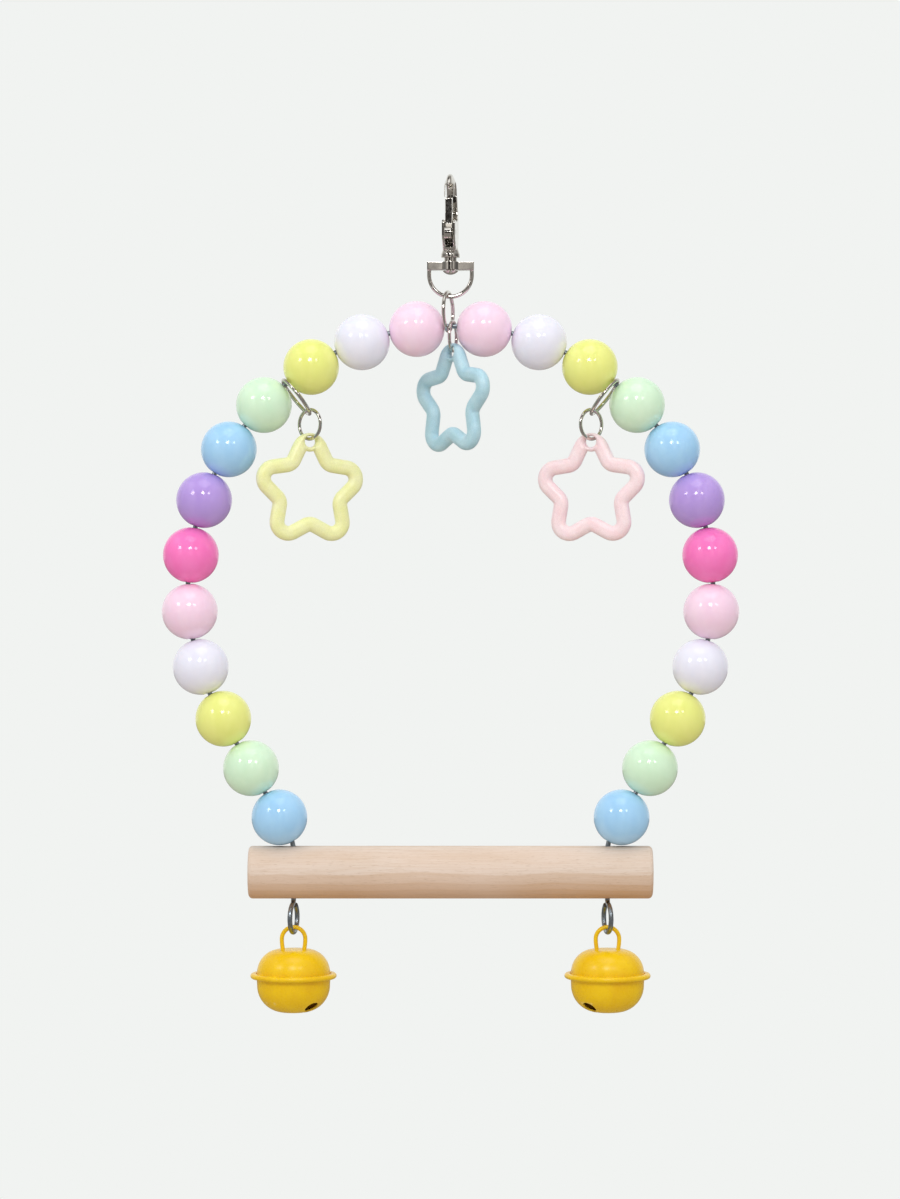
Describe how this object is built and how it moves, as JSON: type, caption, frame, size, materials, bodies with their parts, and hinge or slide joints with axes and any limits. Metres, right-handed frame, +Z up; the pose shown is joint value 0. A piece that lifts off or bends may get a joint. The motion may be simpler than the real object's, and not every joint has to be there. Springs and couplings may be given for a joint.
{
  "type": "bird swing",
  "caption": "Hanging swing for a cage bird: a wire arch of coloured beads over a wooden perch, with a swivel trigger hook, star charms on rings and jingle bells below.",
  "frame": {"origin": "on the axis of the hook's crown, where the carrying bar lies", "axes": "+X along the perch, to the right seen from the front; +Y to the back; +Z up"},
  "size_m": [0.165, 0.0258, 0.2394],
  "materials": {
    "cast_nickel": "zinc casting under bright nickel plate",
    "nickel_wire": "drawn steel wire under bright nickel plate",
    "nickel_steel": "turned steel under nickel plate",
    "spring_steel": "drawn spring wire",
    "galvanised_wire": "drawn steel wire under zinc",
    "birch": "turned and sanded, bare",
    "bead_pink": "moulded, glossy",
    "bead_white": "moulded, glossy",
    "bead_yellow": "moulded, glossy",
    "bead_green": "moulded, glossy",
    "bead_blue": "moulded, glossy",
    "bead_purple": "moulded, glossy",
    "bead_magenta": "moulded, glossy",
    "star_yellow": "moulded, pearly",
    "star_pink": "moulded, pearly",
    "star_blue": "moulded, pearly",
    "enamel": "pressed steel under gloss enamel"
  },
  "bodies": {
    "hook": {"hook_body": "cast_nickel", "gate_pin": "nickel_steel", "gate_spring": "spring_steel", "swivel_rivet": "nickel_steel"},
    "gate": {"hook_gate": "cast_nickel"},
    "swivel": {"swivel_ring": "cast_nickel"},
    "hanger": {"hanger_ring": "nickel_wire"},
    "arch": {"arch_wire": "galvanised_wire", "perch": "birch"},
    "link_left": {"link_ring_left": "nickel_wire"},
    "link_right": {"link_ring_right": "nickel_wire"},
    "star_link_left": {"star_ring_left": "nickel_wire"},
    "star_link_right": {"star_ring_right": "nickel_wire"},
    "star_link_top": {"star_ring_top": "nickel_wire"},
    "star_left": {"star_left": "star_yellow"},
    "star_right": {"star_right": "star_pink"},
    "star_top": {"star_top": "star_blue"},
    "bell_left": {"bell_upper_left": "enamel", "bell_lower_left": "enamel", "bell_loop_left": "enamel"},
    "bell_right": {"bell_upper_right": "enamel", "bell_lower_right": "enamel", "bell_loop_right": "enamel"},
    "pellet_left": {"bell_pellet_left": "nickel_steel"},
    "pellet_right": {"bell_pellet_right": "nickel_steel"},
    "bead_left_1": {"bead_left_1": "bead_pink"},
    "bead_left_2": {"bead_left_2": "bead_white"},
    "bead_left_3": {"bead_left_3": "bead_yellow"},
    "bead_left_4": {"bead_left_4": "bead_green"},
    "bead_left_5": {"bead_left_5": "bead_blue"},
    "bead_left_6": {"bead_left_6": "bead_purple"},
    "bead_left_7": {"bead_left_7": "bead_magenta"},
    "bead_left_8": {"bead_left_8": "bead_pink"},
    "bead_left_9": {"bead_left_9": "bead_white"},
    "bead_left_10": {"bead_left_10": "bead_yellow"},
    "bead_left_11": {"bead_left_11": "bead_green"},
    "bead_left_12": {"bead_left_12": "bead_blue"},
    "bead_right_1": {"bead_right_1": "bead_pink"},
    "bead_right_2": {"bead_right_2": "bead_white"},
    "bead_right_3": {"bead_right_3": "bead_yellow"},
    "bead_right_4": {"bead_right_4": "bead_green"},
    "bead_right_5": {"bead_right_5": "bead_blue"},
    "bead_right_6": {"bead_right_6": "bead_purple"},
    "bead_right_7": {"bead_right_7": "bead_magenta"},
    "bead_right_8": {"bead_right_8": "bead_pink"},
    "bead_right_9": {"bead_right_9": "bead_white"},
    "bead_right_10": {"bead_right_10": "bead_yellow"},
    "bead_right_11": {"bead_right_11": "bead_green"},
    "bead_right_12": {"bead_right_12": "bead_blue"}
  },
  "joints": [
    {"name": "gate_hinge", "type": "hinge", "parent": "hook", "child": "gate", "pos_m": [-0.00038, -0.00358, -0.011], "axis": [-0.9945, 0.1045, 0], "range_deg": [0, 28], "stiffness_Nm_per_rad": 0.02, "springref_deg": -20.05, "deforming": ["gate_spring"]},
    {"name": "swivel_turn", "type": "hinge", "parent": "hook", "child": "swivel", "pos_m": [0, 0, -0.02035], "axis": [0, 0, 1], "continuous": true},
    {"name": "hanger_slide", "type": "hinge", "parent": "swivel", "child": "hanger", "pos_m": [0, 0, -0.02295], "axis": [0, 1, 0], "range_deg": [-30, 30]},
    {"name": "arch_swing", "type": "hinge", "parent": "hanger", "child": "arch", "pos_m": [0, 0, -0.03745], "axis": [1, 0, 0], "range_deg": [-35, 35]},
    {"name": "link_swing_left", "type": "hinge", "parent": "arch", "child": "link_left", "pos_m": [-0.04702, 0, -0.05402], "axis": [0.7791, 0, 0.6269], "range_deg": [-40, 40]},
    {"name": "link_swing_right", "type": "hinge", "parent": "arch", "child": "link_right", "pos_m": [0.04702, 0, -0.05402], "axis": [0.7791, 0, -0.6269], "range_deg": [-40, 40]},
    {"name": "star_link_swing_left", "type": "hinge", "parent": "link_left", "child": "star_link_left", "pos_m": [-0.04018, 0, -0.06251], "axis": [0, 1, 0], "range_deg": [-25, 5]},
    {"name": "star_link_swing_right", "type": "hinge", "parent": "link_right", "child": "star_link_right", "pos_m": [0.04018, 0, -0.06251], "axis": [0, 1, 0], "range_deg": [-5, 25]},
    {"name": "star_link_swing_top", "type": "hinge", "parent": "arch", "child": "star_link_top", "pos_m": [0.00068, 0, -0.03745], "axis": [1, 0, 0], "range_deg": [-30, 30]},
    {"name": "star_swing_left", "type": "hinge", "parent": "star_link_left", "child": "star_left", "pos_m": [-0.04018, 0, -0.06971], "axis": [-0.7431, 0.6691, 0], "range_deg": [-20, 8]},
    {"name": "star_swing_right", "type": "hinge", "parent": "star_link_right", "child": "star_right", "pos_m": [0.04018, 0, -0.06971], "axis": [0.7431, 0.6691, 0], "range_deg": [-8, 20]},
    {"name": "star_swing_top", "type": "hinge", "parent": "star_link_top", "child": "star_top", "pos_m": [0.00068, 0, -0.0445], "axis": [0.2419, 0.9703, 0], "range_deg": [-12, 12]},
    {"name": "bell_swing_left", "type": "hinge", "parent": "arch", "child": "bell_left", "pos_m": [-0.04484, 0, -0.21061], "axis": [0.2079, 0.9781, 0], "range_deg": [-30, 30]},
    {"name": "bell_swing_right", "type": "hinge", "parent": "arch", "child": "bell_right", "pos_m": [0.04484, 0, -0.21061], "axis": [-0.2079, 0.9781, 0], "range_deg": [-30, 30]},
    {"name": "pellet_roll_left", "type": "hinge", "parent": "bell_left", "child": "pellet_left", "pos_m": [-0.04484, 0, -0.22326], "axis": [0, 1, 0], "range_deg": [-30, 30]},
    {"name": "pellet_roll_right", "type": "hinge", "parent": "bell_right", "child": "pellet_right", "pos_m": [0.04484, 0, -0.22326], "axis": [0, 1, 0], "range_deg": [-30, 30]},
    {"name": "turn_bead_left_01", "type": "hinge", "parent": "arch", "child": "bead_left_1", "pos_m": [-0.00962, 0, -0.03828], "axis": [0.9917, 0, 0.1287], "continuous": true},
    {"name": "turn_bead_left_02", "type": "hinge", "parent": "arch", "child": "bead_left_2", "pos_m": [-0.02531, 0, -0.04207], "axis": [0.941, 0, 0.3384], "continuous": true},
    {"name": "turn_bead_left_03", "type": "hinge", "parent": "arch", "child": "bead_left_3", "pos_m": [-0.03981, 0, -0.04914], "axis": [0.8465, 0, 0.5323], "continuous": true},
    {"name": "turn_bead_left_04", "type": "hinge", "parent": "arch", "child": "bead_left_4", "pos_m": [-0.05332, 0, -0.06001], "axis": [0.7012, 0, 0.713], "continuous": true},
    {"name": "turn_bead_left_05", "type": "hinge", "parent": "arch", "child": "bead_left_5", "pos_m": [-0.06333, 0, -0.07267], "axis": [0.5319, 0, 0.8468], "continuous": true},
    {"name": "turn_bead_left_06", "type": "hinge", "parent": "arch", "child": "bead_left_6", "pos_m": [-0.07039, 0, -0.08718], "axis": [0.3379, 0, 0.9412], "continuous": true},
    {"name": "turn_bead_left_07", "type": "hinge", "parent": "arch", "child": "bead_left_7", "pos_m": [-0.07417, 0, -0.10286], "axis": [0.1282, 0, 0.9917], "continuous": true},
    {"name": "turn_bead_left_08", "type": "hinge", "parent": "arch", "child": "bead_left_8", "pos_m": [-0.0745, 0, -0.11899], "axis": [-0.0875, 0, 0.9962], "continuous": true},
    {"name": "turn_bead_left_09", "type": "hinge", "parent": "arch", "child": "bead_left_9", "pos_m": [-0.07136, 0, -0.13482], "axis": [-0.2991, 0, 0.9542], "continuous": true},
    {"name": "turn_bead_left_10", "type": "hinge", "parent": "arch", "child": "bead_left_10", "pos_m": [-0.06491, 0, -0.1496], "axis": [-0.4968, 0, 0.8679], "continuous": true},
    {"name": "turn_bead_left_11", "type": "hinge", "parent": "arch", "child": "bead_left_11", "pos_m": [-0.05699, 0, -0.16375], "axis": [-0.5, 0, 0.866], "continuous": true},
    {"name": "turn_bead_left_12", "type": "hinge", "parent": "arch", "child": "bead_left_12", "pos_m": [-0.04888, 0, -0.17779], "axis": [-0.5, 0, 0.866], "continuous": true},
    {"name": "turn_bead_right_01", "type": "hinge", "parent": "arch", "child": "bead_right_1", "pos_m": [0.00962, 0, -0.03828], "axis": [0.9917, 0, -0.1287], "continuous": true},
    {"name": "turn_bead_right_02", "type": "hinge", "parent": "arch", "child": "bead_right_2", "pos_m": [0.02531, 0, -0.04207], "axis": [0.941, 0, -0.3384], "continuous": true},
    {"name": "turn_bead_right_03", "type": "hinge", "parent": "arch", "child": "bead_right_3", "pos_m": [0.03981, 0, -0.04914], "axis": [0.8465, 0, -0.5323], "continuous": true},
    {"name": "turn_bead_right_04", "type": "hinge", "parent": "arch", "child": "bead_right_4", "pos_m": [0.05332, 0, -0.06001], "axis": [0.7012, 0, -0.713], "continuous": true},
    {"name": "turn_bead_right_05", "type": "hinge", "parent": "arch", "child": "bead_right_5", "pos_m": [0.06333, 0, -0.07267], "axis": [0.5319, 0, -0.8468], "continuous": true},
    {"name": "turn_bead_right_06", "type": "hinge", "parent": "arch", "child": "bead_right_6", "pos_m": [0.07039, 0, -0.08718], "axis": [0.3379, 0, -0.9412], "continuous": true},
    {"name": "turn_bead_right_07", "type": "hinge", "parent": "arch", "child": "bead_right_7", "pos_m": [0.07417, 0, -0.10286], "axis": [0.1282, 0, -0.9917], "continuous": true},
    {"name": "turn_bead_right_08", "type": "hinge", "parent": "arch", "child": "bead_right_8", "pos_m": [0.0745, 0, -0.11899], "axis": [-0.0875, 0, -0.9962], "continuous": true},
    {"name": "turn_bead_right_09", "type": "hinge", "parent": "arch", "child": "bead_right_9", "pos_m": [0.07136, 0, -0.13482], "axis": [-0.2991, 0, -0.9542], "continuous": true},
    {"name": "turn_bead_right_10", "type": "hinge", "parent": "arch", "child": "bead_right_10", "pos_m": [0.06491, 0, -0.1496], "axis": [-0.4968, 0, -0.8679], "continuous": true},
    {"name": "turn_bead_right_11", "type": "hinge", "parent": "arch", "child": "bead_right_11", "pos_m": [0.05699, 0, -0.16375], "axis": [-0.5, 0, -0.866], "continuous": true},
    {"name": "turn_bead_right_12", "type": "hinge", "parent": "arch", "child": "bead_right_12", "pos_m": [0.04888, 0, -0.17779], "axis": [-0.5, 0, -0.866], "continuous": true}
  ]
}
